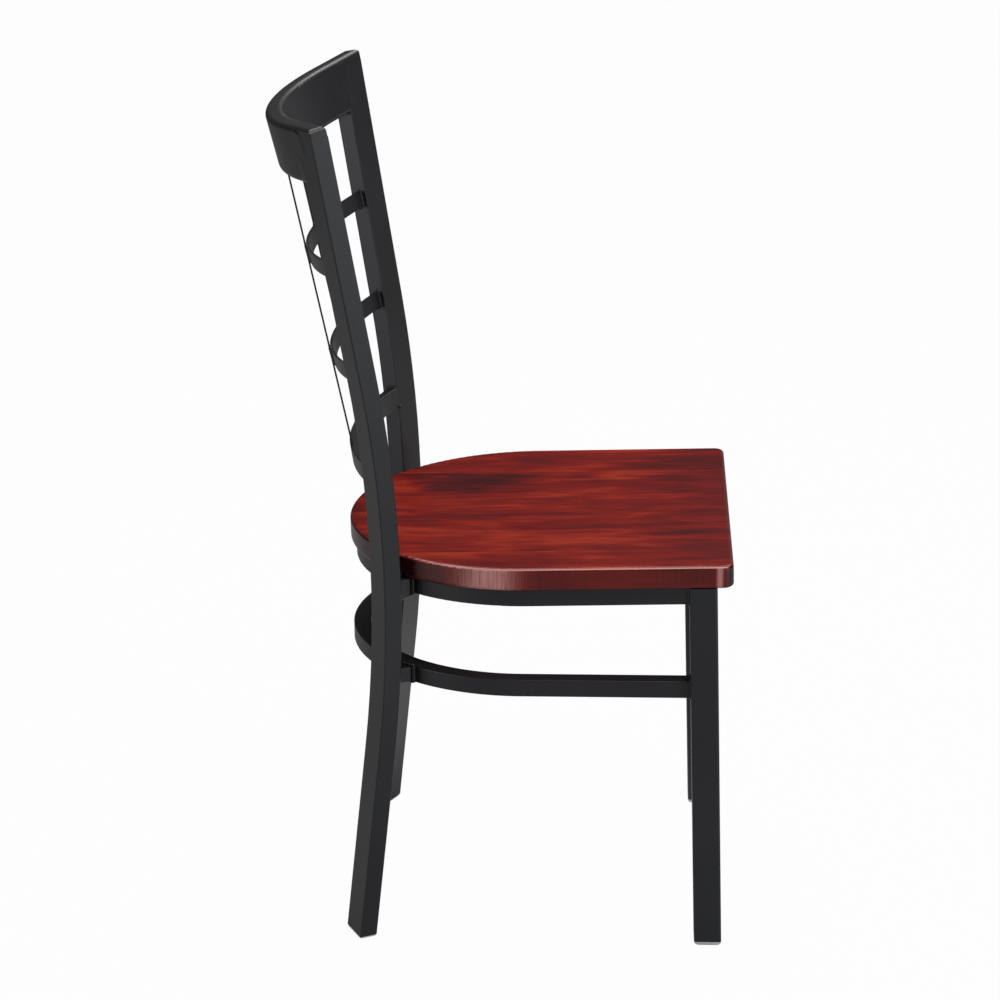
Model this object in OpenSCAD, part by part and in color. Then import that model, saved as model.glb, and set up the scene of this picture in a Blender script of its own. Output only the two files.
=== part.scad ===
// Window-back metal chair with a wooden seat, in millimetres.
// +Z is up and the chair faces -Y. The sitter's right hand is on the -X side.
// The origin is on the floor, under the middle of the chair's bounding box.
// Depths in the sections below are measured backwards from the front edge of the seat.

/* [Seat board] */
// Width of the seat board
seat_w = 422; // [380:2:460]
// Depth of the seat board, from its straight front to the middle of its round rear
seat_d = 436; // [400:2:480]
// Thickness of the seat board
seat_t = 26; // [20:1:34]
// Height of the seat's front edge above the floor
seat_h = 460; // [430:5:490]
// Backward slope of the seat, in degrees
seat_slope = 1.3; // [0:0.1:3]
// Radius of the two front corners, seen from above
seat_corner_r = 12; // [10:1:40]
// Radius of the eased edges of the board
seat_edge_r = 4; // [2:0.5:6]

/* [Rings] */
// Side of the square tube that the seat ring and the lower ring are bent from
ring_tube = 20; // [16:1:22]
// Wall of the ring tube
ring_wall = 1.5; // [1:0.1:2]
// How far the seat board stands out past the seat ring
ring_overhang = 6; // [3:1:12]
// Height of the top of the lower ring above the floor
lower_ring_z = 320; // [240:5:360]
// How much narrower the lower ring is than the seat ring, on each side
lower_ring_inset = 5; // [0:1:8]
// How far the bend of the lower ring lies behind the bend of the seat ring
lower_ring_shift = 9; // [5:1:12]

/* [Front legs] */
// Side of the square tube of the front legs
leg_tube = 31; // [28:1:36]
// Wall of the leg tube
leg_wall = 1.6; // [1.2:0.1:2]
// Depth from the seat's front edge to the front of the leg, at seat height
leg_setback = 18; // [10:1:30]
// Forward lean of the front legs towards the floor, in degrees
leg_rake = 1.5; // [0:0.1:2]

/* [Back posts] */
// Width of the flat tube of the back posts
post_w = 40; // [32:1:44]
// Thickness of the flat tube of the back posts
post_t = 20.5; // [19:0.5:24]
// Wall of the post tube
post_wall = 1.6; // [1.2:0.1:2]
// Turn of each post about the vertical, so that its inner face looks at the sitter
post_turn = 27; // [22:1:30]
// Place of the posts around the round rear of the rings, in degrees from the side
post_place = 43.7; // [40:0.1:48]
// Free width between a post and the seat ring, which a spacer bridges
post_gap = 8; // [6:0.5:12]
// Height at which the posts stand upright, in the middle of their bend
waist_z = 397; // [380:1:410]
// Radius of the bend along the posts
bend_r = 1440; // [1300:20:1500]
// Backward lean of the posts above the bend, in degrees
back_rake = 10.4; // [9:0.1:11]
// Backward splay of the posts below the bend, in degrees
foot_rake = 7; // [5:0.1:8]

/* [Back rails] */
// Radius of the bend in the middle of the crest rail and the two slats
back_r = 340; // [315:5:355]
// How much more the rails lean back than the faces of the posts, in degrees
rail_sink = 2.3; // [0:0.1:3]
// Height of the middle of the crest rail where it meets the posts
crest_z = 911; // [890:1:940]
// Height of the crest rail's face
crest_h = 64; // [56:1:72]
// Wall of the crest rail
crest_wall = 2; // [1.5:0.1:2.5]
// Radius of the rounded edges of the crest rail and the post caps
crest_edge_r = 6; // [4:0.5:9]
// Height of the upper slat where it meets the posts
upper_slat_z = 779; // [760:1:800]
// Height of the middle slat where it meets the posts
middle_slat_z = 660; // [645:1:680]
// Face height of the two slats
slat_h = 19; // [15:1:25]
// Thickness of the two slats
slat_t = 3; // [2:0.5:5]
// How far the slats lie in front of the middle of the posts
slat_forward = 1.5; // [1:0.5:4]
// Height of the lower rail where it meets the posts
lower_rail_z = 541; // [530:1:560]
// Face height of the lower rail
lower_rail_h = 23; // [19:1:28]
// Thickness of the lower rail
lower_rail_t = 12; // [10:1:13]
// Radius of the bend in the middle of the lower rail
lower_rail_r = 365; // [340:5:380]

/* [Window bars] */
// Half the distance between the two window bars
bar_x = 54; // [45:1:70]
// Width of a window bar
bar_w = 10; // [6:1:14]
// Thickness of a window bar
bar_t = 2; // [1.5:0.5:3]

/* [Seat fixings] */
// Length of a seat tab, inwards from the ring
tab_l = 30; // [24:1:40]
// Width of a seat tab
tab_w = 26; // [20:1:34]
// Thickness of a seat tab
tab_t = 4; // [3:0.5:5]
// Depth of the front pair of tabs from the seat's front edge
front_tab_y = 90; // [75:5:120]
// Depth of the rear pair of tabs from the seat's front edge
rear_tab_y = 195; // [160:5:200]
// Diameter of the screws
screw_d = 4.8; // [4:0.2:6]
// Depth that the screws reach into the seat board
screw_reach = 16; // [10:1:18]

/* [Glides] */
// Height of the front glides under the metal
front_glide_h = 6; // [4:0.5:8]
// Height of the rear glides under the metal
back_glide_h = 3.5; // [3:0.5:6]
// Depth of the glides' plugs inside the tubes
plug_l = 14; // [10:1:20]

/* [Hidden] */
$fn = 72;
// Facets of a full turn on the long bends
bend_fn = 360;
// Reach of the blocks that trim a piece, well past the chair
far = 1500;
// How far the straight end of a rail reaches into its bend, so that the two fuse
joint_overlap = 0.01;
// Outer corner radii of the tubes
ring_corner_r = 1.5;
leg_corner_r = 3;
post_corner_r = 1.5;
// Clearances of a plug in its tube and of a screw in its hole
plug_clearance = 0.2;
screw_clearance = 0.2;
// How far a glide's flange stays inside the tube's outline
flange_inset = 1;
// Head of a seat screw
screw_head_d = 2.1 * screw_d;
screw_head_h = 0.6 * screw_d;
// Width and height of a spacer between a post and a ring
spacer_w = 14;
spacer_h = ring_tube - 2 * ring_corner_r;
// Height of the solid caps on the posts
cap_h = 2 * crest_edge_r;

// Round rear of the seat, and the rings under it
seat_r = seat_w / 2;
seat_bend_y = seat_d - seat_r;
ring_r = seat_r - ring_overhang;
lower_ring_r = ring_r - lower_ring_inset;
lower_bend_y = seat_bend_y + lower_ring_shift;
// The front legs are centred on the tube of the seat ring
leg_x = ring_r - ring_tube / 2;
// Place of the post in the middle of its bend, outside the seat ring
post_half = post_t / 2 * sin(post_place + post_turn) + post_w / 2 * cos(post_place + post_turn);
waist_reach = ring_r + post_gap + post_half;
waist_x = waist_reach * cos(post_place);
waist_y = seat_bend_y + waist_reach * sin(post_place);
// Height at which the bend of the post ends and the straight upper part begins
bend_top_z = waist_z + bend_r * sin(back_rake);

// Lean of the post at a height, and how far it has moved back there
function lean(z) = z > bend_top_z ? back_rake : asin((z - waist_z) / bend_r);
function moved_back(z) = z > bend_top_z
    ? bend_r * (1 - cos(back_rake)) + (z - bend_top_z) * tan(back_rake)
    : bend_r * (1 - cos(lean(z)));
// Half distance between the posts and their depth, at a height
function post_x(z) = waist_x + moved_back(z) * sin(post_turn);
function post_y(z) = waist_y + moved_back(z) * cos(post_turn);
// A rail leans nearly as the faces of the posts do, and its ends are in line with them
function rail_lean(z) = atan(tan(lean(z)) / cos(post_turn)) + rail_sink;
function rail_turn(z) = atan(tan(post_turn) * cos(rail_lean(z)));
// How far the middle of a rail lies behind its ends
function bow(z, r) = r * (1 - cos(rail_turn(z)))
    + (post_x(z) - r * sin(rail_turn(z))) * tan(rail_turn(z));

// Foremost and rearmost points, which put the origin under the middle of the chair
foot_front = leg_setback - (seat_h - front_glide_h) * tan(leg_rake);
edge_drop = (seat_t - seat_edge_r) * sin(seat_slope);
seat_front = seat_edge_r * cos(seat_slope) - edge_drop - seat_edge_r;
crest_lean = rail_lean(crest_z);
crest_rear = post_y(crest_z) + bow(crest_z, back_r) * cos(crest_lean)
    + (post_t / 2 - crest_edge_r) * cos(crest_lean)
    + (crest_h / 2 - crest_edge_r) * sin(crest_lean) + crest_edge_r;
middle_y = (min(seat_front, foot_front) + crest_rear) / 2;

// Depth and height of the top rear edge of a slat, where a window bar lies on it
bar_bend_r = back_r - slat_forward + slat_t / 2;
function bar_back(z) = bow(z, back_r) - back_r + sqrt(bar_bend_r * bar_bend_r - bar_x * bar_x);
function bar_y(z) = post_y(z) + bar_back(z) * cos(rail_lean(z)) + slat_h / 2 * sin(rail_lean(z));
function bar_z(z) = z - bar_back(z) * sin(rail_lean(z)) + slat_h / 2 * cos(rail_lean(z));
bar_lean = atan((bar_y(upper_slat_z) - bar_y(middle_slat_z))
    / (bar_z(upper_slat_z) - bar_z(middle_slat_z)));

// Rectangle with rounded corners, about its middle
module rounded(w, h, r) {
    square([w - 2 * r, h], center = true);
    square([w, h - 2 * r], center = true);
    for (x = [-1, 1], y = [-1, 1])
        translate([x * (w / 2 - r), y * (h / 2 - r)])
            circle(r);
}

// Section of a tube with rounded corners
module tube_section(w, h, wall, r) {
    difference() {
        rounded(w, h, r);
        rounded(w - 2 * wall, h - 2 * wall, max(r - wall, 0.5));
    }
}

// Moves a piece to the chair's frame, on the left side or mirrored to the right
module placed(side = 1) {
    mirror([side < 0 ? 1 : 0, 0, 0])
        translate([0, -middle_y, 0])
            children();
}

// Frame of the sloping seat: z is 0 on its top face, y runs back from its front edge
module seat_frame() {
    translate([0, 0, seat_h])
        rotate([-seat_slope, 0, 0])
            children();
}

// Frame of a post, upright in the middle of its bend: x outwards, y backwards
module post_frame() {
    translate([waist_x, waist_y, waist_z])
        rotate([0, 0, -post_turn])
            children();
}

// Frame of a rail between the posts at a height
module rail_frame(z) {
    translate([0, post_y(z), z])
        rotate([-rail_lean(z), 0, 0])
            children();
}

// Bar that turns round the rear of a ring of this outer radius, with straight sides
module ring_bar(outer_r, side_l) {
    r = outer_r - ring_tube / 2;
    rotate_extrude(angle = 180, $fn = bend_fn)
        translate([r, 0])
            children();
    for (x = [-r, r])
        translate([x, 0, 0])
            rotate([90, 0, 0])
                linear_extrude(side_l)
                    children();
}

// Bar along a post, from its section
module post_bar() {
    rise = bend_r * sin(back_rake);
    drop = bend_r * sin(foot_rake);
    foot_l = (waist_z - drop) / cos(foot_rake) + post_t;
    translate([0, bend_r, 0])
        rotate([90, 0, 90])
            rotate([0, 0, 180 - back_rake])
                rotate_extrude(angle = back_rake + foot_rake, $fn = bend_fn)
                    translate([bend_r, 0])
                        rotate(90)
                            children();
    translate([0, bend_r * (1 - cos(back_rake)), rise])
        rotate([-back_rake, 0, 0])
            linear_extrude(crest_z + crest_h - waist_z - rise)
                children();
    translate([0, bend_r * (1 - cos(foot_rake)), -drop])
        rotate([foot_rake, 0, 0])
            translate([0, 0, -foot_l])
                linear_extrude(foot_l)
                    children();
}

// Bar across the back, from its section: bent in the middle, straight to the posts
module rail_bar(z, r) {
    turn = rail_turn(z);
    straight_l = (post_x(z) - r * sin(turn)) / cos(turn) + post_w;
    translate([0, bow(z, r) - r, 0]) {
        rotate([0, 0, 90 - turn])
            rotate_extrude(angle = 2 * turn, $fn = bend_fn)
                translate([r, 0])
                    children();
        for (side = [0, 1])
            mirror([side, 0, 0])
                rotate([0, 0, -turn])
                    translate([-joint_overlap, r, 0])
                        rotate([90, 0, 90])
                            linear_extrude(straight_l)
                                children();
    }
}

// Everything outside the inner faces of the two posts
module past_posts() {
    for (side = [0, 1])
        mirror([side, 0, 0])
            post_frame()
                translate([-post_w / 2, -far / 2, -waist_z])
                    cube([far, far, far]);
}

// Solid outline of one post, from far below the floor to above the crest
module post_outline(inset = 0) {
    post_frame()
        post_bar()
            rounded(post_w - 2 * inset, post_t - 2 * inset, post_corner_r);
}

// Straight bar along a front leg, from its section
module leg_bar() {
    translate([leg_x, leg_setback, seat_h])
        rotate([-leg_rake, 0, 0])
            translate([0, leg_tube / 2, -seat_h - leg_tube])
                linear_extrude(seat_h + leg_tube)
                    children();
}

// Space of the seat board and all above it
module above_seat_underside() {
    seat_frame()
        translate([-far / 2, -far / 2, -seat_t])
            cube([far, far, far]);
}

module below(z) {
    translate([-far / 2, -far / 2, z - far])
        cube([far, far, far]);
}

// Edge section of the seat board, out to a radius
module seat_edge(r) {
    translate([0, -seat_t])
        square([r - seat_edge_r, seat_t]);
    translate([0, seat_edge_r - seat_t])
        square([r, seat_t - 2 * seat_edge_r]);
    for (y = [-seat_edge_r, seat_edge_r - seat_t])
        translate([r - seat_edge_r, y])
            circle(seat_edge_r);
}

// Places of the four seat screws, from the seat's middle line
function screw_x() = ring_r - ring_tube - tab_l + tab_w / 2;

// Board of glued staves: round rear, straight sides, two corners and a straight front
module seat_board() {
    color("firebrick")
        placed()
            seat_frame()
                difference() {
                    union() {
                        translate([0, seat_bend_y, 0])
                            rotate_extrude(angle = 180, $fn = bend_fn)
                                seat_edge(seat_r);
                        for (side = [0, 1])
                            mirror([side, 0, 0]) {
                                translate([0, seat_bend_y, 0])
                                    rotate([90, 0, 0])
                                        linear_extrude(seat_bend_y - seat_corner_r)
                                            seat_edge(seat_r);
                                translate([seat_r - seat_corner_r, seat_corner_r, 0])
                                    rotate([0, 0, -90])
                                        rotate_extrude(angle = 90)
                                            seat_edge(seat_corner_r);
                                translate([0, seat_corner_r, 0])
                                    rotate([90, 0, 90])
                                        mirror([1, 0, 0])
                                            linear_extrude(seat_r - seat_corner_r)
                                                seat_edge(seat_corner_r);
                            }
                    }
                    for (x = [-screw_x(), screw_x()], y = [front_tab_y, rear_tab_y])
                        translate([x, y, -seat_t - 1])
                            cylinder(d = screw_d + screw_clearance, h = screw_reach + 2);
                }
}

// Ring under the seat board, butted against the rear of the front legs
module seat_ring() {
    color("darkslategray")
        placed()
            difference() {
                seat_frame()
                    translate([0, seat_bend_y, -seat_t - ring_tube / 2])
                        ring_bar(ring_r, seat_bend_y - leg_setback - leg_tube / 2)
                            tube_section(ring_tube, ring_tube, ring_wall, ring_corner_r);
                leg_outlines();
            }
}

// Second ring, level, that braces the legs below the seat
module lower_ring() {
    color("darkslategray")
        placed()
            difference() {
                translate([0, lower_bend_y, lower_ring_z - ring_tube / 2])
                    ring_bar(lower_ring_r, lower_bend_y - leg_setback - leg_tube / 2)
                        tube_section(ring_tube, ring_tube, ring_wall, ring_corner_r);
                leg_outlines();
            }
}

module leg_outlines() {
    for (side = [0, 1])
        mirror([side, 0, 0])
            leg_bar()
                square(leg_tube, center = true);
}

// Tube across the front, between the legs and right under the seat board
module front_rail() {
    rail_l = 2 * leg_x - leg_tube;
    rail_y = leg_setback + leg_tube / 2;
    color("darkslategray")
        placed()
            seat_frame()
                translate([-rail_l / 2, rail_y, -seat_t - ring_tube / 2])
                    rotate([90, 0, 90])
                        linear_extrude(rail_l)
                            tube_section(ring_tube, ring_tube, ring_wall, ring_corner_r);
}

module front_leg(side) {
    color("darkslategray")
        placed(side)
            difference() {
                leg_bar()
                    tube_section(leg_tube, leg_tube, leg_wall, leg_corner_r);
                above_seat_underside();
                below(front_glide_h);
            }
}

// Post in one length: foot, long bend and leaning upper part
module back_post(side) {
    color("darkslategray")
        placed(side)
            difference() {
                post_frame()
                    post_bar()
                        tube_section(post_w, post_t, post_wall, post_corner_r);
                below(back_glide_h);
                rail_frame(crest_z)
                    translate([-far / 2, -far / 2, crest_h / 2 - cap_h])
                        cube([far, far, far]);
            }
}

// Frame of the crest rail's straight end where it meets the left post
module crest_end_frame() {
    rail_frame(crest_z)
        translate([post_x(crest_z), 0, 0])
            rotate([0, 0, -rail_turn(crest_z)])
                children();
}

// Front view of a cap: the outer edge follows the post, and its top corner is round
module cap_face() {
    skew = asin(sin(crest_lean) * sin(post_turn));
    edge_x = post_w / 2 / cos(skew) + crest_h / 2 * tan(skew);
    low_z = crest_h / 2 - cap_h;
    translate([-post_w, low_z])
        square([post_w + edge_x, cap_h - crest_edge_r]);
    translate([-post_w, low_z])
        square([post_w + edge_x - crest_edge_r, cap_h]);
    translate([edge_x - crest_edge_r, crest_h / 2 - crest_edge_r])
        circle(crest_edge_r);
}

// Solid cap that closes the top of a post, rounded like the crest rail beside it
module post_cap(side) {
    color("darkslategray")
        placed(side)
            intersection() {
                post_outline();
                crest_end_frame()
                    translate([-post_w, 0, 0])
                        rotate([90, 0, 90])
                            linear_extrude(2 * post_w)
                                rounded(post_t, crest_h, crest_edge_r);
                crest_end_frame()
                    translate([0, post_t, 0])
                        rotate([90, 0, 0])
                            linear_extrude(2 * post_t)
                                cap_face();
            }
}

module crest_rail() {
    color("darkslategray")
        placed()
            difference() {
                rail_frame(crest_z)
                    rail_bar(crest_z, back_r)
                        tube_section(post_t, crest_h, crest_wall, crest_edge_r);
                past_posts();
            }
}

// Flat steel slat between the posts
module slat(z) {
    color("darkslategray")
        placed()
            difference() {
                rail_frame(z)
                    rail_bar(z, back_r)
                        translate([-slat_forward, 0])
                            square([slat_t, slat_h], center = true);
                past_posts();
            }
}

// Tube across the bottom of the back, in line with the front faces of the posts
module lower_rail() {
    color("darkslategray")
        placed()
            difference() {
                rail_frame(lower_rail_z)
                    rail_bar(lower_rail_z, lower_rail_r)
                        translate([(lower_rail_t - post_t) / 2, 0])
                            tube_section(lower_rail_t, lower_rail_h, ring_wall, ring_corner_r);
                past_posts();
            }
}

// Flat bar behind the two slats, from the lower rail to the crest rail
module window_bar(side) {
    color("darkslategray")
        placed(side)
            difference() {
                translate([bar_x, bar_y(upper_slat_z), bar_z(upper_slat_z)])
                    rotate([-bar_lean, 0, 0])
                        rotate([0, 0, -asin(bar_x / bar_bend_r)])
                            translate([-bar_w / 2, 0, lower_rail_z - upper_slat_z - lower_rail_h])
                                cube([bar_w, bar_t, crest_z - lower_rail_z + lower_rail_h]);
                rail_frame(crest_z)
                    translate([-far / 2, -far / 2, -crest_h / 2])
                        cube([far, far, far]);
                rail_frame(lower_rail_z)
                    translate([-far / 2, -far / 2, lower_rail_h / 2 - far])
                        cube([far, far, far]);
            }
}

// Short block from inside a ring to the middle of the left post, at this height
module spacer_block(z) {
    reach = 2 * post_gap + post_t;
    post_frame()
        translate([-spacer_w / 2, moved_back(z) - reach, z - spacer_h / 2 - waist_z])
            cube([spacer_w, reach, spacer_h]);
}

// Spacer welded between the front of a post and the outside of the seat ring
module seat_ring_spacer(side) {
    ring_z = seat_h - seat_t - ring_tube / 2 - waist_y * sin(seat_slope);
    color("darkslategray")
        placed(side)
            difference() {
                spacer_block(ring_z);
                post_outline();
                seat_frame()
                    translate([0, seat_bend_y, -2 * seat_t])
                        cylinder(r = ring_r, h = 2 * seat_t, $fn = bend_fn);
            }
}

// Spacer welded between the front of a post and the outside of the lower ring
module lower_ring_spacer(side) {
    color("darkslategray")
        placed(side)
            difference() {
                spacer_block(lower_ring_z - ring_tube / 2);
                post_outline();
                translate([0, lower_bend_y, 0])
                    cylinder(r = lower_ring_r, h = lower_ring_z, $fn = bend_fn);
            }
}

// Plate welded to the inside of the seat ring, with a hole for the screw
module seat_tab(side, y) {
    color("darkslategray")
        placed(side)
            seat_frame()
                translate([0, y, -seat_t - tab_t])
                    difference() {
                        linear_extrude(tab_t) {
                            translate([screw_x(), -tab_w / 2])
                                square([tab_l - tab_w / 2, tab_w]);
                            translate([screw_x(), 0])
                                circle(d = tab_w);
                        }
                        translate([screw_x(), 0, -1])
                            cylinder(d = screw_d + screw_clearance, h = tab_t + 2);
                    }
}

// Four pan head screws that hold the seat board on the tabs
module seat_screws() {
    color("silver")
        placed()
            seat_frame()
                for (x = [-screw_x(), screw_x()], y = [front_tab_y, rear_tab_y])
                    translate([x, y, -seat_t - tab_t]) {
                        cylinder(d = screw_d, h = tab_t + screw_reach);
                        translate([0, 0, -screw_head_h])
                            cylinder(d = screw_head_d, h = screw_head_h);
                    }
}

// Nylon glide pressed into the foot of a front leg
module front_glide(side) {
    inner = leg_tube - 2 * leg_wall - 2 * plug_clearance;
    color("gainsboro")
        placed(side)
            union() {
                difference() {
                    leg_bar()
                        rounded(leg_tube - 2 * flange_inset, leg_tube - 2 * flange_inset, leg_corner_r);
                    translate([-far / 2, -far / 2, front_glide_h])
                        cube([far, far, far]);
                    below(0);
                }
                difference() {
                    leg_bar()
                        rounded(inner, inner, leg_corner_r);
                    translate([-far / 2, -far / 2, front_glide_h + plug_l])
                        cube([far, far, far]);
                    below(front_glide_h);
                }
            }
}

// Nylon glide pressed into the foot of a back post
module back_glide(side) {
    color("gainsboro")
        placed(side)
            union() {
                difference() {
                    post_outline(flange_inset);
                    translate([-far / 2, -far / 2, back_glide_h])
                        cube([far, far, far]);
                    below(0);
                }
                difference() {
                    post_outline(post_wall + plug_clearance);
                    translate([-far / 2, -far / 2, back_glide_h + plug_l])
                        cube([far, far, far]);
                    below(back_glide_h);
                }
            }
}

seat_board();
seat_ring();
lower_ring();
front_rail();
front_leg(1);  // front_leg_left
front_leg(-1);  // front_leg_right
back_post(1);  // back_post_left
back_post(-1);  // back_post_right
post_cap(1);  // post_cap_left
post_cap(-1);  // post_cap_right
crest_rail();
slat(upper_slat_z);  // upper_slat
slat(middle_slat_z);  // middle_slat
lower_rail();
window_bar(1);  // window_bar_left
window_bar(-1);  // window_bar_right
seat_ring_spacer(1);  // seat_ring_spacer_left
seat_ring_spacer(-1);  // seat_ring_spacer_right
lower_ring_spacer(1);  // lower_ring_spacer_left
lower_ring_spacer(-1);  // lower_ring_spacer_right
seat_tab(1, front_tab_y);  // seat_tab_front_left
seat_tab(-1, front_tab_y);  // seat_tab_front_right
seat_tab(1, rear_tab_y);  // seat_tab_rear_left
seat_tab(-1, rear_tab_y);  // seat_tab_rear_right
seat_screws();
front_glide(1);  // front_glide_left
front_glide(-1);  // front_glide_right
back_glide(1);  // back_glide_left
back_glide(-1);  // back_glide_right
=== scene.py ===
import math

import bpy
from mathutils import Matrix, Vector


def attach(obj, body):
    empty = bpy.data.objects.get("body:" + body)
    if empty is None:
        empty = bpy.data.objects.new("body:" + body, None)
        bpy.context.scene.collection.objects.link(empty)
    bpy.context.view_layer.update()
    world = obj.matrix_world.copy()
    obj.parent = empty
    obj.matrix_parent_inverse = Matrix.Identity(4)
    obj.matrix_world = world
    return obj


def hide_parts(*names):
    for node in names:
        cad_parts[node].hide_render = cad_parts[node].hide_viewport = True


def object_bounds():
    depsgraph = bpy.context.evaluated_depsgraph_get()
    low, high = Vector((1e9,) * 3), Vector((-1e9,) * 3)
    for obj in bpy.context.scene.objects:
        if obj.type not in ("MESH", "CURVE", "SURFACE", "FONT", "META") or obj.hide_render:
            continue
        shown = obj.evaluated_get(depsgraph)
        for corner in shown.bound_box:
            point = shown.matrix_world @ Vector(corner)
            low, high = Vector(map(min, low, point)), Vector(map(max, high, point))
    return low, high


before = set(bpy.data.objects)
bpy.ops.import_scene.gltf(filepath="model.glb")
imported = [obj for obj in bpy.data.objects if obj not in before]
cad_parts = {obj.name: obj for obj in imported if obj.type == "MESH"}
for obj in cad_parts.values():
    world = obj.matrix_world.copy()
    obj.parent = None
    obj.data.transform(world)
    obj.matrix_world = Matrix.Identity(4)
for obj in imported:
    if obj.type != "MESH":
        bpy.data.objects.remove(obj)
cad_box = [list(corner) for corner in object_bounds()]
bpy.ops.object.select_all(action="DESELECT")


# Front legs, with the rail between them: square steel tube, welded and then sprayed
# with a satin black powder that is baked on. The coat is thin and even, with a very
# fine orange peel, and it covers every steel piece of the chair and its welds.
class Socket:
    """An output of a shader node, or the start of a tree. Sums on it add Math nodes."""

    def __init__(self, tree, output=None):
        self.tree = tree
        self.output = output

    def node(self, kind, settings=None, out=0, **sockets):
        """Adds a node, sets it up, then fills its sockets with values or links."""
        made = self.tree.nodes.new(kind)
        for name, value in (settings or {}).items():
            if name == "stops":
                ramp = made.color_ramp
                while len(ramp.elements) < len(value):
                    ramp.elements.new(0.5)
                for element, (place, colour) in zip(ramp.elements, value):
                    element.position = place
                    element.color = (*colour, 1)
            else:
                setattr(made, name, value)
        for name, value in sockets.items():
            if name.startswith("in_"):
                socket = made.inputs[int(name[3:])]
            else:
                socket = made.inputs[name.replace("_", " ")]
            if isinstance(value, Socket):
                self.tree.links.new(value.output, socket)
            elif hasattr(value, "__len__") and len(value) == 3 and len(socket.default_value) == 4:
                socket.default_value = (*value, 1)
            else:
                socket.default_value = value
        return Socket(self.tree, made.outputs[out] if made.outputs else None)

    def maths(self, operation, first, second=0.0):
        return self.node("ShaderNodeMath", {"operation": operation}, in_0=first, in_1=second)

    def __add__(self, other):
        return self.maths("ADD", self, other)

    def __sub__(self, other):
        return self.maths("SUBTRACT", self, other)

    def __rsub__(self, other):
        return self.maths("SUBTRACT", other, self)

    def __mul__(self, other):
        return self.maths("MULTIPLY", self, other)

    def __truediv__(self, other):
        return self.maths("DIVIDE", self, other)

    def __rtruediv__(self, other):
        return self.maths("DIVIDE", other, self)

    __radd__ = __add__
    __rmul__ = __mul__

    def floor(self):
        return self.maths("FLOOR", self)

    def fade(self, low, high):
        """0 below low, 1 above high, smooth between them."""
        return self.node("ShaderNodeMapRange", {"interpolation_type": "SMOOTHSTEP"},
            Value=self, From_Min=low, From_Max=high)

    def band(self, low, high, soft):
        """1 between low and high, fading to 0 over a distance outside them."""
        return self.fade(low - soft, low) * (1 - self.fade(high, high + soft))

    def axis(self, name):
        """One number of a place or a direction, by its axis."""
        return self.node("ShaderNodeSeparateXYZ", None, name, Vector=self)

    def noise(self, scale, detail, **more):
        return self.node("ShaderNodeTexNoise", Vector=self, Scale=scale, Detail=detail, **more)

    def ramp(self, *stops):
        """A colour for each value, by stops of a value and its colour."""
        return self.node("ShaderNodeValToRGB", {"stops": stops}, Fac=self)

    def blend(self, first, second):
        """The first colour where this is 0, and the second where it is 1."""
        return self.node("ShaderNodeMix", {"data_type": "RGBA"}, 2,
            in_0=self, in_6=first, in_7=second)


def new_material(name):
    """An empty material, and the place on the piece that its patterns are laid by."""
    material = bpy.data.materials.new(name)
    material.use_nodes = True
    material.node_tree.nodes.clear()
    return material, Socket(material.node_tree).node("ShaderNodeTexCoord", None, "Object")


def finish_surface(place, **sockets):
    """The surface of the material that a place belongs to."""
    shader = place.node("ShaderNodeBsdfPrincipled", **sockets)
    place.node("ShaderNodeOutputMaterial", Surface=shader)


def dress(material, *names):
    """Gives CAD nodes their finish; the nodes themselves stay as they are."""
    for name in names:
        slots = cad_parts[name].data.materials
        slots.clear()
        slots.append(material)


powder_coat, place = new_material("satin_black_powder_coat")
mottle = place.noise(9.0, 3.0)
peel = place.noise(750.0, 1.0)
coat_colour = mottle.ramp((0.30, (0.0150, 0.0155, 0.0172)), (0.70, (0.0205, 0.0210, 0.0235)))
coat_bump = peel.node("ShaderNodeBump", Height=peel, Strength=0.10, Distance=0.0001)
finish_surface(place, Base_Color=coat_colour, Roughness=mottle * 0.08 + 0.36,
    Normal=coat_bump, IOR=1.45)
dress(powder_coat, "front_leg_left", "front_leg_right", "front_rail")


# The welds are laid by hand, a row of small overlapping ripples along each seam. One
# ripple is shaped here, blunt in front and drawn out behind, and every bead copies it.
def pick(piece, kind, test):
    """Selects the vertices, edges or faces of a piece that pass a test, for editing."""
    bpy.ops.object.mode_set(mode="EDIT")
    bpy.ops.mesh.select_mode(type=kind)
    bpy.ops.mesh.select_all(action="DESELECT")
    bpy.ops.object.mode_set(mode="OBJECT")
    mesh = piece.data
    if kind == "VERT":
        for vertex in mesh.vertices:
            vertex.select = test(vertex.co)
    elif kind == "EDGE":
        for edge in mesh.edges:
            first, last = (mesh.vertices[end].co for end in edge.vertices)
            edge.select = test(first, last)
    else:
        for face in mesh.polygons:
            face.select = test(face.center, face.normal)
    bpy.ops.object.mode_set(mode="EDIT")


def resize(across, along, up):
    """Scales what is picked, from the origin."""
    bpy.ops.transform.resize(value=(across, along, up), center_override=(0, 0, 0))


def copy_of(piece):
    """A copy of a piece, with its own mesh."""
    copy = piece.copy()
    copy.data = piece.data.copy()
    bpy.context.collection.objects.link(copy)
    return copy


def join(pieces):
    """Makes them one piece, with its place in its mesh."""
    bpy.ops.object.select_all(action="DESELECT")
    for piece in pieces:
        piece.select_set(True)
    bpy.context.view_layer.objects.active = pieces[0]
    bpy.ops.object.join()
    bpy.ops.object.transform_apply(location=True, rotation=True, scale=True)
    return bpy.context.object


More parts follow.
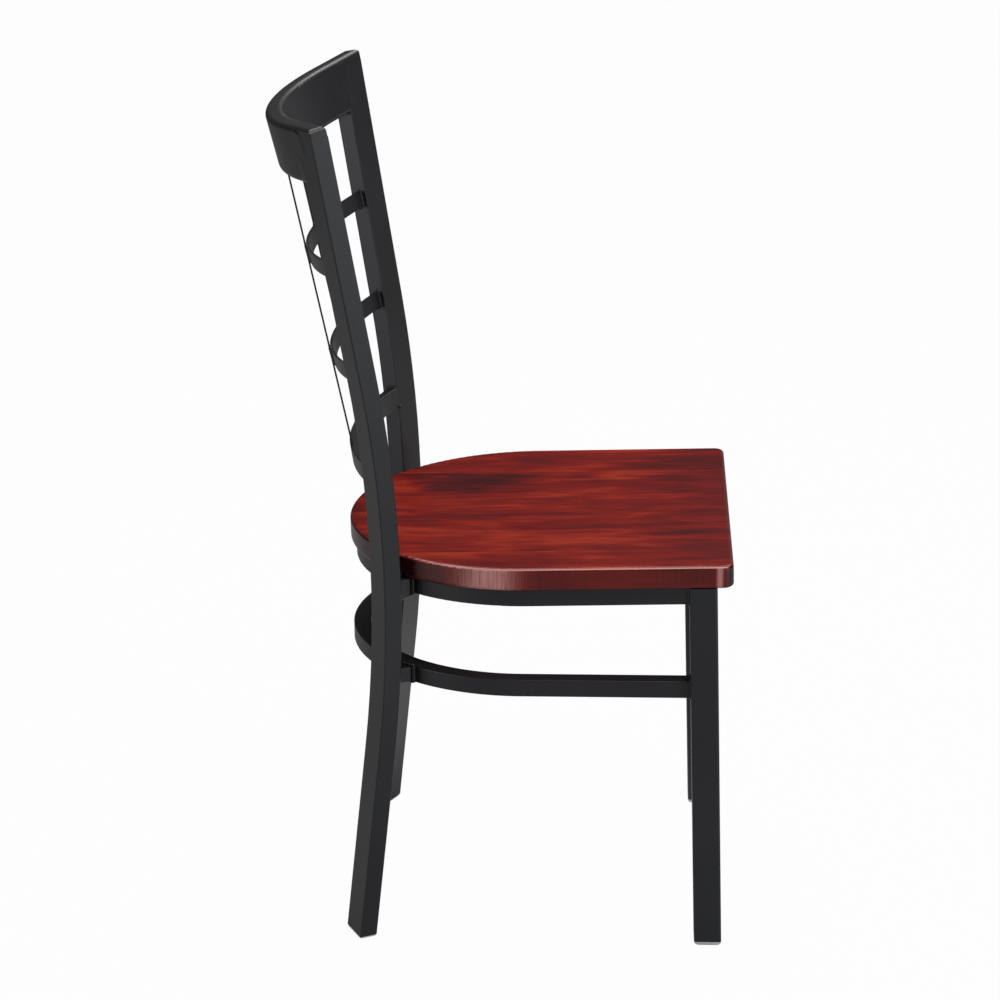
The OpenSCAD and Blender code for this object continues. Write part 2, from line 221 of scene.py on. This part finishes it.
ripple_r, ripple_pitch = 0.0021, 0.0022
ripple_nose_x, ripple_tail_x = 0.0002, -0.0008
bpy.ops.mesh.primitive_uv_sphere_add(segments=10, ring_count=8, radius=ripple_r)
ripple = bpy.context.object
pick(ripple, "VERT", lambda corner: True)
bpy.ops.transform.rotate(value=math.radians(90), orient_axis="Y", center_override=(0, 0, 0))
pick(ripple, "VERT", lambda corner: corner.x > ripple_nose_x)
resize(0.55, 1, 1)
pick(ripple, "VERT", lambda corner: corner.x < ripple_tail_x)
resize(1.6, 0.86, 0.86)
bpy.ops.object.mode_set(mode="OBJECT")
bpy.ops.object.shade_smooth()


def both_sides(seams):
    """The seams on the left of the chair, and the same on its right."""
    flip = Vector((-1, 1, 1))
    return seams + [(first * flip, last * flip) for first, last in seams]


def lay_beads(name, seams, thickness):
    """One piece of the beads along straight seams, each given by its two ends.

    The thickness is a bead's, by that of the ripple.
    """
    laid = []
    for first, last in seams:
        run = last - first
        steps = max(2, round(run.length / (ripple_pitch * thickness)))
        for step in range(steps):
            drop = copy_of(ripple)
            drop.location = first + run * (step + 0.5) / steps
            drop.rotation_mode = "QUATERNION"
            drop.rotation_quaternion = run.to_track_quat("X", "Z")
            drop.scale = (thickness, thickness, thickness)
            laid.append(drop)
    bead = join(laid)
    bead.name = name
    bead.data.materials.append(powder_coat)
    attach(bead, "root")


# All depths of the frame are counted from the top of the seat's front edge. The box
# starts half a millimetre before it, at the lower edge of the sloping board.
seat_edge_y = cad_box[0][1] + 0.0005
seat_h, seat_t, seat_slope = 0.460, 0.026, math.radians(1.3)
leg_x, leg_half, leg_y, leg_rake = 0.195, 0.0155, seat_edge_y + 0.0335, math.radians(1.5)
tube = 0.020
board_drop_at_legs = 0.0008
rail_x = leg_x - leg_half
rail_low = seat_h - seat_t - tube - board_drop_at_legs
front_low, front_high, rear_low, rear_high = (Vector((rail_x, y, z))
    for y in (leg_y - tube / 2, leg_y + tube / 2) for z in (rail_low, rail_low + tube))
lay_beads("front_rail_welds", both_sides([
    (front_low, front_high), (rear_high, rear_low), (rear_low, front_low)]), thickness=0.9)


# Seat ring and lower ring: square tube bent to a D and butted on the rear faces of the
# legs, with a bead down each side and underneath, and one on top of the lower ring.
dress(powder_coat, "seat_ring", "lower_ring")
seat_ring_r, seat_ring_low, seat_ring_end = 0.205, 0.4129, 0.0481
lower_ring_r, lower_ring_low, lower_ring_end = 0.200, 0.300, 0.0451


def butt_seams(ring_r, low_z, end_depth):
    """The seams of a ring's end on the left leg: outside, underneath, inside and on top."""
    low_out = Vector((ring_r, seat_edge_y + end_depth, low_z))
    low_in = Vector((ring_r - tube, seat_edge_y + end_depth, low_z))
    rise = Vector((0, 0, tube))
    return [(low_out + rise, low_out), (low_out, low_in), (low_in, low_in + rise),
        (low_in + rise, low_out + rise)]


lay_beads("seat_ring_welds",
    both_sides(butt_seams(seat_ring_r, seat_ring_low, seat_ring_end)[:3]), thickness=0.9)
lay_beads("lower_ring_welds",
    both_sides(butt_seams(lower_ring_r, lower_ring_low, lower_ring_end)), thickness=0.9)


# Back posts: one length of flat tube each, pressed to a long bend and splayed, with a
# solid cap welded in the top and ground flush, so that no bead shows there. At its
# waist a post stands upright, and it leans back above it and below it.
dress(powder_coat, "back_post_left", "back_post_right", "post_cap_left", "post_cap_right")
post_half_w, post_half_t = 0.020, 0.01025
post_turn = math.radians(27)
waist = Vector((0.165765, seat_edge_y + 0.383408, 0.397))
bend_r = 1.440
back_rake, foot_rake = math.radians(10.4), math.radians(7)
outward = Vector((math.cos(post_turn), -math.sin(post_turn), 0))
backward = Vector((math.sin(post_turn), math.cos(post_turn), 0))


def lean(z):
    """How far a post leans back at a height."""
    return min(back_rake, math.asin((z - waist.z) / bend_r))


def post_middle(z):
    """Where the middle of the left post is at a height."""
    straight = max(0.0, z - waist.z - bend_r * math.sin(back_rake))
    moved = bend_r * (1 - math.cos(lean(z))) + straight * math.tan(back_rake)
    return Vector((waist.x, waist.y, z)) + backward * moved


# Spacers: short square blocks that hold the posts off the rings, two on each ring. Each
# has a bead round both of its ends, one on the flat post and one on the round ring.
dress(powder_coat, "seat_ring_spacer_left", "seat_ring_spacer_right",
    "lower_ring_spacer_left", "lower_ring_spacer_right")
spacer_half_w, spacer_half_h = 0.007, 0.0085
seat_spacer_z, lower_spacer_z = 0.4153, 0.310
seat_ring_bend_y, lower_ring_bend_y = seat_edge_y + 0.225, seat_edge_y + 0.234


def spacer_seams(z, bend_y, ring_r):
    """The seams of the left spacer at a height, on its post and on its ring's bend."""
    corners = []
    for side in (-spacer_half_w, spacer_half_w):
        on_post = post_middle(z) - backward * post_half_t + outward * side
        way = backward * -1
        from_middle = on_post - Vector((0, bend_y, z))
        along = from_middle.dot(way)
        reach = -along - math.sqrt(along ** 2 - from_middle.length_squared + ring_r ** 2)
        corners.append((on_post, on_post + way * reach))
    rise = Vector((0, 0, spacer_half_h))
    seams = []
    for end in (0, 1):
        first, last = corners[0][end], corners[1][end]
        seams += [(first - rise, first + rise), (first + rise, last + rise),
            (last + rise, last - rise), (last - rise, first - rise)]
    return seams


lay_beads("seat_ring_spacer_welds",
    both_sides(spacer_seams(seat_spacer_z, seat_ring_bend_y, seat_ring_r)), thickness=1.6)
lay_beads("lower_ring_spacer_welds", both_sides(
    spacer_seams(lower_spacer_z, lower_ring_bend_y, lower_ring_r)), thickness=1.6)


# Back rails: the crest rail, two flat slats and the lower rail, bent to the sitter's
# back and welded to the inner faces of the posts. The crest rail's seams are ground
# flush in front, behind and on top, and only the bead underneath is left.
dress(powder_coat, "crest_rail", "upper_slat", "middle_slat", "lower_rail")
back_r = 0.340
rail_sink = math.radians(2.3)
slat_heights, slat_t, slat_half_h = (0.779, 0.660), 0.0030, 0.0095
lower_rail_z, lower_rail_r, lower_rail_half_h = 0.541, 0.365, 0.0115
lower_rail_front, lower_rail_rear = -0.01025, 0.00175
crest_z, crest_half_t, crest_half_h, crest_flat_half_h = 0.911, 0.01025, 0.032, 0.0262
crest_bead_half_t = 0.007


def rail_frame(z):
    """The leaning frame that the rail at a height is bent in, and its turn at the ends."""
    tilt = math.atan(math.tan(lean(z)) / math.cos(post_turn)) + rail_sink
    turn = math.atan(math.tan(post_turn) * math.cos(tilt))
    leaning = Matrix.Translation((0, post_middle(z).y, z)) @ Matrix.Rotation(-tilt, 4, "X")
    return leaning, turn


def rail_bow(z, bend, turn):
    """How far the middle of a rail lies behind its ends."""
    past_bend = post_middle(z).x - bend * math.sin(turn)
    return bend * (1 - math.cos(turn)) + past_bend * math.tan(turn)


def rail_end(z, bend):
    """Where the straight left end of a rail starts, and the way that it runs."""
    leaning, turn = rail_frame(z)
    end = (leaning @ Matrix.Translation((0, rail_bow(z, bend, turn) - bend, 0))
        @ Matrix.Rotation(-turn, 4, "Z") @ Matrix.Translation((0, bend, 0)))
    return end, end.to_3x3().col[0].normalized()


def rail_corner(z, bend, depth, height):
    """The point of a rail's section that meets the left post, by its depth and height."""
    end, way = rail_end(z, bend)
    start = end @ Vector((0, depth, height))
    inner_face = waist - outward * post_half_w
    return start + way * ((inner_face - start).dot(outward) / way.dot(outward))


def rail_corners(z, bend, front, rear, half_h):
    """Corners of a rail's left end on its post, by the depths of its faces."""
    return [rail_corner(z, bend, depth, height) for depth, height in (
        (front, -half_h), (rear, -half_h), (rear, half_h), (front, half_h))]


slat_seams = []
for z in slat_heights:
    front_low, rear_low, rear_high, front_high = rail_corners(
        z, back_r, -slat_t, 0, slat_half_h)
    slat_seams += [(front_high, front_low), (rear_low, rear_high)]
lay_beads("slat_welds", both_sides(slat_seams), thickness=1.3)
front_low, rear_low, rear_high, front_high = rail_corners(
    lower_rail_z, lower_rail_r, lower_rail_front, lower_rail_rear, lower_rail_half_h)
lay_beads("lower_rail_welds", both_sides([
    (front_low, rear_low), (rear_low, rear_high), (rear_high, front_high)]), thickness=1.2)
front_low, rear_low = (rail_corner(crest_z, back_r, depth, -crest_half_h)
    for depth in (-crest_bead_half_t, crest_bead_half_t))
lay_beads("crest_rail_welds", both_sides([(front_low, rear_low)]), thickness=0.9)


def level_with_post(corner, face):
    """The point of a post's front (-1) or rear (1) face level with a point beside it."""
    middle = post_middle(corner.z)
    reach = post_half_t / math.cos(back_rake)
    return corner + backward * (face * reach - (corner - middle).dot(backward))


# The crest rail leans more than the posts, so it stands proud of them in one half of
# each seam and they stand proud of it in the other. The filler is ground to a slope
# from the edge that stands proud, and runs out wide on the other piece.
wide_slope, edge_on_crest, edge_on_post = 0.014, 0.0004, 0.0018
skin, root_depth = 0.0001, -0.0016
crest_way = rail_end(crest_z, back_r)[1]
strips = []
for face in (-1, 1):
    for low, high in ((-crest_flat_half_h, 0), (0, crest_flat_half_h)):
        crest_proud = face * (low + high) > 0
        on_crest = edge_on_crest if crest_proud else wide_slope
        on_post = wide_slope if crest_proud else edge_on_post
        corners = []
        for proud in (skin, root_depth):
            lift = backward * (face * proud)
            for height in (low, high):
                seam = rail_corner(crest_z, back_r, face * crest_half_t, height)
                corners += [seam - crest_way * on_crest + lift,
                    level_with_post(seam + outward * on_post, face) + lift]
        for side in (-1, 1):
            bpy.ops.mesh.primitive_cube_add(size=0.01)
            strip = bpy.context.object
            for vertex in strip.data.vertices:
                corner = 4 * (vertex.co.y > 0) + 2 * (vertex.co.z > 0) + (vertex.co.x > 0)
                vertex.co = corners[corner] * Vector((side, 1, 1))
            strips.append(strip)
ground_welds = join(strips)
pick(ground_welds, "FACE", lambda middle, normal: True)
bpy.ops.mesh.normals_make_consistent(inside=False)
bpy.ops.object.mode_set(mode="OBJECT")
ground_welds.name = "crest_ground_welds"
ground_welds.data.materials.append(powder_coat)
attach(ground_welds, "root")


# Window bars: two flat steel bars behind the slats, from the lower rail to the crest
# rail, with a short bead down each side of a bar at both slats.
dress(powder_coat, "window_bar_left", "window_bar_right")
bar_x, bar_half_w = 0.054, 0.005


def behind_slat(z, x, height):
    """A point of a slat's rear face, by its distance from the middle and its height."""
    leaning, turn = rail_frame(z)
    back = rail_bow(z, back_r, turn) - back_r + math.sqrt(back_r ** 2 - x ** 2)
    return leaning @ Vector((x, back, height))


bar_seams = [(behind_slat(z, x, slat_half_h), behind_slat(z, x, -slat_half_h))
    for x in (bar_x - bar_half_w, bar_x + bar_half_w) for z in slat_heights]
lay_beads("window_bar_welds", both_sides(bar_seams), thickness=1.3)


# Seat tabs: four steel plates inside the seat ring, right under the board. Each is held
# by a bead along its lower edge on the ring, and one screw goes up through it.
dress(powder_coat, "seat_tab_front_left", "seat_tab_front_right",
    "seat_tab_rear_left", "seat_tab_rear_right")
tab_t, tab_bead_half, tab_depths = 0.004, 0.012, (0.090, 0.195)


def under_tab(x, depth, step=0.0):
    """A point of a tab's underside, a step before or behind the tab's middle."""
    low = seat_h - seat_t - tab_t - depth * math.sin(seat_slope)
    return Vector((x, seat_edge_y + depth + step, low))


ring_inside = seat_ring_r - tube
lay_beads("seat_tab_welds", both_sides([
    (under_tab(ring_inside, depth, -tab_bead_half), under_tab(ring_inside, depth, tab_bead_half))
    for depth in tab_depths]), thickness=0.8)
bpy.data.objects.remove(ripple)


# Seat board: hardwood staves glued side by side with the grain from front to rear, sawn
# to a D, eased all round, stained mahogany red and lacquered satin. The stain lies in
# patches along the grain and soaks darker into the ends. Its edges carry painted shade
# and painted highlights.
stave_w, first_joint = 0.070, 0.057
wood, place = new_material("mahogany_stained_wood")
across, along = place.axis("X"), place.axis("Y")
staves = (across - first_joint) / stave_w
stave = staves.floor()
chance = stave.node("ShaderNodeTexWhiteNoise", {"noise_dimensions": "1D"}, "Value", W=stave)
shift = chance.node("ShaderNodeCombineXYZ", X=chance * 3.0, Y=chance * 7.0, Z=0.0)
grain_place = shift.node("ShaderNodeVectorMath", {"operation": "ADD"}, in_0=place, in_1=shift)


def figure(scale_across, scale_along, detail, twist):
    """Noise drawn out along the grain."""
    stretched = grain_place.node("ShaderNodeMapping", Vector=grain_place,
        Scale=(scale_across, scale_along, scale_across))
    return stretched.noise(1.0, detail, Roughness=0.55, Distortion=twist)


# The stain on top: figure of four sizes, a dark and a fainter dark patch on one stave, a
# light patch on another, and a darker front.
cloud = figure(17.0, 6.0, 2.0, 0.6)
blotch = figure(48.0, 8.0, 4.0, 0.8)
streak = figure(190.0, 9.0, 3.0, 0.3)
fibre = figure(1100.0, 36.0, 2.0, 0.0)
drift = (cloud - 0.5) * 0.11
drifted_across = across + drift
drifted_along = along + drift * 1.2 + chance * 0.02
dark = drifted_across.band(0.066, 0.104, 0.022) * (
    drifted_along.band(-0.010, 0.100, 0.045) + drifted_along.band(-0.180, -0.110, 0.040) * 0.45)
light = drifted_across.band(-0.150, -0.100, 0.022) * drifted_along.band(-0.110, 0.090, 0.040)
darker_front = 1 - along.fade(-0.26, -0.12)
tone = (cloud * 0.34 + blotch * 0.36 + streak * 0.20 + fibre * 0.10 + chance * 0.03
    - dark * 0.16 + light * 0.045 - darker_front * 0.075)
top_colour = tone.ramp(
    (0.30, (0.048, 0.0080, 0.0090)), (0.42, (0.120, 0.0095, 0.0090)),
    (0.50, (0.200, 0.0120, 0.0090)), (0.60, (0.330, 0.0300, 0.0140)))

# The edge: fine upright saw lines on a colour darker than the top's, which is partly the
# wood's own and partly painted shade. It is darkest where it faces the front or the rear,
# with the end grain and more painted shade there.
facing = place.node("ShaderNodeTexCoord", None, "Normal")
forward, upward = facing.axis("Y"), facing.axis("Z")
end_grain_and_shade = forward * forward
saw_place = place.node("ShaderNodeMapping", Vector=place, Scale=(520.0, 520.0, 25.0))
saw_line = saw_place.noise(1.0, 2.0)
edge_tone = tone + saw_line * 0.22 - 0.11 - end_grain_and_shade.fade(0.10, 0.55) * 0.30
side_colour_and_shade = edge_tone.ramp(
    (0.12, (0.018, 0.0040, 0.0042)), (0.34, (0.062, 0.0055, 0.0050)),
    (0.60, (0.190, 0.0100, 0.0065)))
flat = upward.fade(0.45, 0.93)
# Sides take the darker edge colour and the top the lighter one: partly painted shade.
stained = flat.blend(side_colour_and_shade, top_colour)

# Painted highlights, in a pale colour: at the front corners, on the sides where the curve
# of the D begins, and along the rim of the top beside them.
painted_corner_highlight = along.band(-0.2455, -0.2430, 0.005)
painted_curve_highlight = along.fade(-0.050, 0.004) * (1 - along.fade(0.012, 0.074)) * (saw_line * 0.9 + 0.5)
painted_rim_highlight = upward.band(0.52, 0.72, 0.12) * (1 - end_grain_and_shade.fade(0.05, 0.30))
painted_highlight = (painted_corner_highlight * 0.80 + painted_curve_highlight * 0.88) * (1 - flat) + painted_rim_highlight
painted_highlight_colour = painted_highlight.ramp((0.25, (0.40, 0.055, 0.045)), (0.85, (0.74, 0.33, 0.30)))

# The lacquer follows the fibres and the glued joints, and lies thicker on the edge.
glue_joint = (staves - stave).band(0.012, 0.988, 0.010)
wood_bump = fibre.node("ShaderNodeBump", Height=fibre * 0.5 + glue_joint * 0.5,
    Strength=0.10, Distance=0.0003)
# The base colour carries the painted highlights over the stain.
finish_surface(place, Base_Color=painted_highlight.blend(stained, painted_highlight_colour),
    Roughness=fibre * 0.10 + 0.27, Normal=wood_bump, IOR=1.2,
    Coat_Weight=0.6 - upward.fade(0.90, 0.995) * 0.6, Coat_Roughness=0.40, Coat_IOR=1.5)
dress(wood, "seat_board")


# Seat screws: zinc plated pan heads with a six-lobed recess, driven up through the
# tabs into the board. One is turned here, and the other three are copies of it.
zinc, place = new_material("zinc_plate")
dulling = place.noise(400.0, 2.0)
zinc_colour = dulling.ramp((0.30, (0.52, 0.52, 0.50)), (0.70, (0.64, 0.64, 0.62)))
finish_surface(place, Base_Color=zinc_colour, Metallic=1.0, Roughness=dulling * 0.2 + 0.3)
head_r, head_h, head_edge, land_w = 0.00504, 0.00288, 0.0019, 0.0012
shank_r, shank_h, screw_x = 0.0024, 0.012, 0.168
lobes, recess_r, recess_hub_r, recess_depth = 6, 0.0025, 0.0004, 0.0017
bpy.ops.mesh.primitive_cylinder_add(vertices=36, radius=head_r, depth=head_h,
    location=(0, 0, -head_h / 2))
screw = bpy.context.object
bpy.ops.object.transform_apply(location=True)
pick(screw, "FACE", lambda middle, normal: normal.z > 0.9)
bpy.ops.mesh.inset(thickness=head_r - shank_r)
bpy.ops.mesh.extrude_region_move(TRANSFORM_OT_translate={"value": (0, 0, shank_h)})
head_bottom = -0.99 * head_h
pick(screw, "EDGE", lambda first, last: max(first.z, last.z) < head_bottom)
bpy.ops.mesh.bevel(offset=head_edge, segments=5, profile=0.5)
pick(screw, "FACE", lambda middle, normal: normal.z < -0.98 and middle.z < head_bottom)
bpy.ops.mesh.inset(thickness=land_w)
pick(screw, "VERT", lambda corner: corner.z < head_bottom and corner.xy.length < recess_r
    and math.cos(lobes * math.atan2(corner.y, corner.x)) < -0.4)
resize(0.72, 0.72, 1)
pick(screw, "FACE", lambda middle, normal: normal.z < -0.98 and middle.xy.length < recess_hub_r)
bpy.ops.mesh.extrude_region_move(TRANSFORM_OT_translate={"value": (0, 0, recess_depth)})
bpy.ops.object.mode_set(mode="OBJECT")
bpy.ops.object.shade_smooth_by_angle(angle=math.radians(35))
screws = []
for side in (-1, 1):
    for depth in tab_depths:
        copy = copy_of(screw)
        copy.location = under_tab(side * screw_x, depth)
        copy.rotation_euler = (-seat_slope, 0, 0)
        screws.append(copy)
bpy.data.objects.remove(screw)
screws = join(screws)
screws.name = "pan_head_screws"
screws.data.materials.append(zinc)
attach(screws, "root")
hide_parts("seat_screws")


# Glides: milky clear nylon feet, moulded with a domed sole, a thin rim under the tube
# and a ribbed plug that is pressed into the open end of the leg or the post.
nylon, place = new_material("clear_nylon")
haze = place.noise(60.0, 2.0)
nylon_colour = haze.ramp((0.30, (0.84, 0.84, 0.86)), (0.70, (0.92, 0.92, 0.94)))
finish_surface(place, Base_Color=nylon_colour, Roughness=haze * 0.1 + 0.3)
front_rim, front_glide_h = (0.0306, 0.0306), 0.006
rear_rim, rear_glide_h = (0.0396, 0.0202), 0.0035
rim_t, rim_corner, plug_inset = 0.001, 0.003, 0.0018
sole_steps, sole_dome = ((0.35, 0.97), (0.35, 0.90), (0.20, 0.80)), 0.1
ribs, rib_steps = 4, ((0.0024, 0.96), (0.0004, 1 / 0.96))


def draw_out(rise, shrink):
    """Extrudes the picked face up or down, and shrinks or widens its end."""
    bpy.ops.mesh.extrude_region_move(TRANSFORM_OT_translate={"value": (0, 0, rise)})
    resize(shrink, shrink, 1)


def mould_glide(name, node, rim, high, foot, turn):
    """A glide from its rim's size, its height under the tube, its place and its turn."""
    bpy.ops.object.select_all(action="DESELECT")
    bpy.ops.mesh.primitive_cube_add(size=1, location=(0, 0, high - rim_t / 2),
        scale=(*rim, rim_t))
    glide = bpy.context.object
    bpy.ops.object.transform_apply(location=True, scale=True)
    pick(glide, "EDGE", lambda first, last: abs(first.z - last.z) > rim_t / 2)
    bpy.ops.mesh.bevel(offset=rim_corner, segments=4, profile=0.5)
    sole_h = high - rim_t
    for share, shrink in sole_steps:
        pick(glide, "FACE", lambda middle, normal: normal.z < -0.99)
        draw_out(-sole_h * share, shrink)
    pick(glide, "VERT", lambda corner: corner.z < 0.11 * high)
    bpy.ops.transform.translate(value=(0, 0, -sole_dome * sole_h))
    pick(glide, "FACE", lambda middle, normal: normal.z > 0.99)
    bpy.ops.mesh.inset(thickness=plug_inset)
    for rise, shrink in rib_steps * ribs:
        draw_out(rise, shrink)
    bpy.ops.object.mode_set(mode="OBJECT")
    bpy.ops.object.shade_smooth_by_angle(angle=math.radians(30))
    glide.rotation_euler = (0, 0, turn)
    glide.location = foot
    bpy.ops.object.transform_apply(location=True, rotation=True)
    glide.name = name
    glide.data.materials.append(nylon)
    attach(glide, "root")
    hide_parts(node)


front_foot_y = leg_y - (seat_h - front_glide_h / 2) * math.tan(leg_rake)
straight_from_z = waist.z - bend_r * math.sin(foot_rake)
rear_foot_z = 0.002
foot_back = (bend_r * (1 - math.cos(foot_rake))
    + (straight_from_z - rear_foot_z) * math.tan(foot_rake))
rear_foot = waist + backward * foot_back
hands = ((1, "left"), (-1, "right"))
for side, hand in hands:
    mould_glide("front_foot_" + hand, "front_glide_" + hand, front_rim, front_glide_h,
        (side * leg_x, front_foot_y, 0), 0)
for side, hand in hands:
    mould_glide("rear_foot_" + hand, "back_glide_" + hand, rear_rim, rear_glide_h,
        (side * rear_foot.x, rear_foot.y, 0), -side * post_turn)


# Studio: a matt sheet in a dark room, which the camera sees as white, with five soft
# lamps. The steel mirrors the sheet's glow, which is painted light: a grey that falls off
# behind the chair, with a painted pool of light in front of it, on the side away from the
# camera.
seen_white = 0.98


def show_white(start, dark, white, mirrored):
    """Shows a white shader to the camera, and a part of it to mirroring surfaces.

    A little of the dark one is left in, so that the sheet keeps the chair's shadow.
    """
    seen, glossy, clear = (start.node("ShaderNodeLightPath", None, "Is " + ray + " Ray")
        for ray in ("Camera", "Glossy", "Transmission"))
    return start.node("ShaderNodeMixShader",
        in_0=seen * seen_white + (glossy + clear) * mirrored, in_1=dark, in_2=white)


pure_white = (1.0, 1.0, 1.0)
bpy.ops.mesh.primitive_plane_add(size=60, location=(0, 0, 0))
sheet = bpy.context.object
sheet.name = "studio_sheet"
paper, place = new_material("white_paper")
beyond, rearward = place.axis("X"), place.axis("Y")
# Painted light in the sheet's glow, seen only in reflections: a pool and a falloff behind the
# chair.
painted_pool = beyond.band(0.15, 0.50, 0.15) * rearward.band(-0.45, -0.05, 0.20)
painted_sheet_glow = 0.28 + painted_pool * 0.60 - rearward.fade(-0.3, 0.6) * 0.13 - rearward.fade(0.9, 2.2) * 0.10
matt = place.node("ShaderNodeBsdfDiffuse", Color=(0.35, 0.35, 0.35))
glow = place.node("ShaderNodeEmission", Color=pure_white, Strength=1.0)
place.node("ShaderNodeOutputMaterial", Surface=show_white(place, matt, glow, painted_sheet_glow))
sheet.data.materials.append(paper)

room = bpy.data.worlds.new("soft_room")
bpy.context.scene.world = room
room.use_nodes = True
room.node_tree.nodes.clear()
air = Socket(room.node_tree)
dim, bright = (air.node("ShaderNodeBackground", Color=pure_white, Strength=strength)
    for strength in (0.02, 1.0))
air.node("ShaderNodeOutputWorld", Surface=show_white(air, dim, bright, 0.04))


def add_lamp(name, place, size, power, colour=pure_white):
    """A square soft lamp that looks at the middle of the chair."""
    data = bpy.data.lights.new(name, "AREA")
    data.shape = "SQUARE"
    data.size = size
    data.energy = power
    data.color = colour
    lamp = bpy.data.objects.new(name, data)
    bpy.context.collection.objects.link(lamp)
    lamp.location = place
    aim = Vector((0, 0, 0.5)) - Vector(place)
    lamp.rotation_euler = aim.to_track_quat("-Z", "Y").to_euler()


add_lamp("top_lamp", (0.9, 0.2, 3.2), 1.2, 33, (1.0, 0.98, 0.94))
add_lamp("back_lamp", (2.3, -1.1, 3.3), 1.6, 54)
add_lamp("key_lamp", (-1.2, -0.9, 3.2), 1.2, 41)
add_lamp("left_softbox", (-1.9, 2.6, 0.55), 1.0, 22, (0.94, 0.95, 1.0))
add_lamp("right_softbox", (-1.9, -2.6, 0.55), 1.0, 22, (0.90, 0.93, 1.0))


# Camera: at the photograph's place beside the chair's right post, found from the
# chair's own edges. It looks down, with a little yaw and a trace of roll.
yaw, pitch, roll = 0.04057, 0.3297, 0.005526
sensor_w, lens_in_sensors = 36, 3.150
ahead = Vector((math.cos(yaw) * math.cos(pitch), math.sin(yaw) * math.cos(pitch),
    -math.sin(pitch)))
level = Vector((math.sin(yaw), -math.cos(yaw), 0))
down = ahead.cross(level)
picture_right = level * math.cos(roll) + down * math.sin(roll)
picture_down = down * math.cos(roll) - level * math.sin(roll)
camera_data = bpy.data.cameras.new("photo_camera")
camera_data.sensor_width = sensor_w
camera_data.lens = sensor_w * lens_in_sensors
camera_data.clip_start = 0.1
camera_data.clip_end = 60
camera = bpy.data.objects.new("photo_camera", camera_data)
bpy.context.collection.objects.link(camera)
camera_place = Matrix((picture_right, -picture_down, -ahead)).transposed().to_4x4()
camera_place.translation = Vector((-3.436, seat_edge_y + 0.12364, 1.639))
camera.matrix_world = camera_place
bpy.context.scene.camera = camera
bpy.context.scene.view_settings.view_transform = "Standard"
